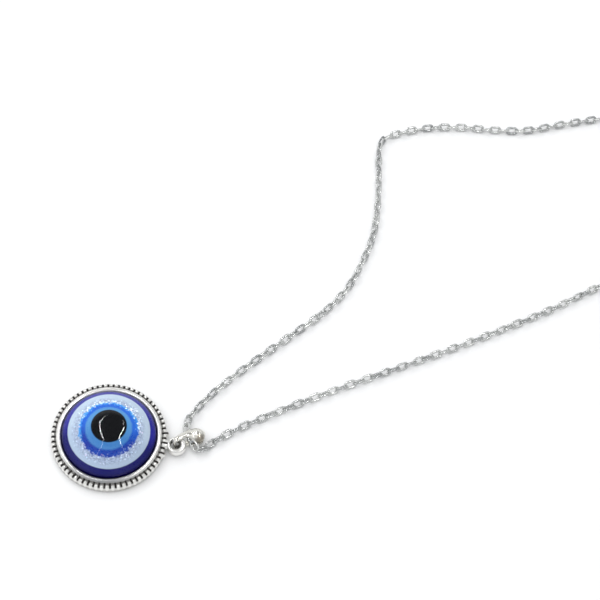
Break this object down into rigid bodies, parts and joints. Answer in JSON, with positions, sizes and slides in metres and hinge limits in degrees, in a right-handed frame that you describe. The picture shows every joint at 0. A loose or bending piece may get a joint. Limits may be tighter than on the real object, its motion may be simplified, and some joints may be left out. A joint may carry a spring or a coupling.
{
  "type": "evil eye pendant necklace",
  "caption": "Domed evil eye pendant in a ribbed antique silver setting, on a bail and a fine cable chain with a lobster clasp and an extender.",
  "frame": {"origin": "centre of the setting's flat back, on the surface the pendant lies on", "axes": "+X from the eye towards the setting's loop, +Z out of the eye's face, +Y across"},
  "size_m": [0.1504, 0.1242, 0.0074],
  "materials": {
    "antique_silver": "silver-tone casting with blackened recesses",
    "glue": "clear jewellery glue",
    "navy_resin": "glossy",
    "white_resin": "pearl white with fine glitter",
    "blue_resin": "glossy with glitter at its edge",
    "light_blue_resin": "glossy",
    "black_resin": "glossy",
    "clear_resin": "clear glossy coat",
    "bright_silver": "bright silver-tone plating",
    "chain_silver": "silver-tone plated fine chain",
    "spring_steel": "spring wire"
  },
  "bodies": {
    "chain": {"chain_run": "chain_silver", "chain_coil": "chain_silver", "chain_tail": "chain_silver", "clasp_ring": "bright_silver", "extender_ring": "bright_silver"},
    "bail": {"bail": "bright_silver"},
    "pendant": {"setting": "antique_silver", "adhesive": "glue", "eye_base": "navy_resin", "white_ring": "white_resin", "blue_ring": "blue_resin", "light_blue_ring": "light_blue_resin", "pupil": "black_resin", "clear_coat": "clear_resin"},
    "clasp": {"clasp_body": "bright_silver", "clasp_rivet": "bright_silver", "clasp_spring": "spring_steel"},
    "lever": {"clasp_lever": "bright_silver"},
    "extender": {"extender_chain": "bright_silver"},
    "tag": {"end_tag": "bright_silver"}
  },
  "joints": [
    {"name": "bail_swing", "type": "hinge", "parent": "chain", "child": "bail", "pos_m": [0.0171, 0.002, 0.0016], "axis": [-0.5878, 0.809, 0], "range_deg": [0, 100]},
    {"name": "pendant_swing", "type": "hinge", "parent": "bail", "child": "pendant", "pos_m": [0.01435, 0, 0.0016], "axis": [0, 0, 1], "range_deg": [-30, 60]},
    {"name": "clasp_swing", "type": "hinge", "parent": "chain", "child": "clasp", "pos_m": [0.1319, 0.03396, 0.0012], "axis": [0, 0, 1], "range_deg": [-35, 35]},
    {"name": "lever_open", "type": "hinge", "parent": "clasp", "child": "lever", "pos_m": [0.133, 0.02896, 0.0012], "axis": [0, 0, -1], "range_deg": [0, 22], "stiffness_Nm_per_rad": 0.0005, "springref_deg": -17.19},
    {"name": "extender_swing", "type": "hinge", "parent": "chain", "child": "extender", "pos_m": [0.11365, 0.10825, 0.00115], "axis": [0, 0, 1], "range_deg": [-8, 20]},
    {"name": "tag_swing", "type": "hinge", "parent": "extender", "child": "tag", "pos_m": [0.1336, 0.0737, 0.00115], "axis": [0, 0, 1], "range_deg": [-35, 35]}
  ]
}
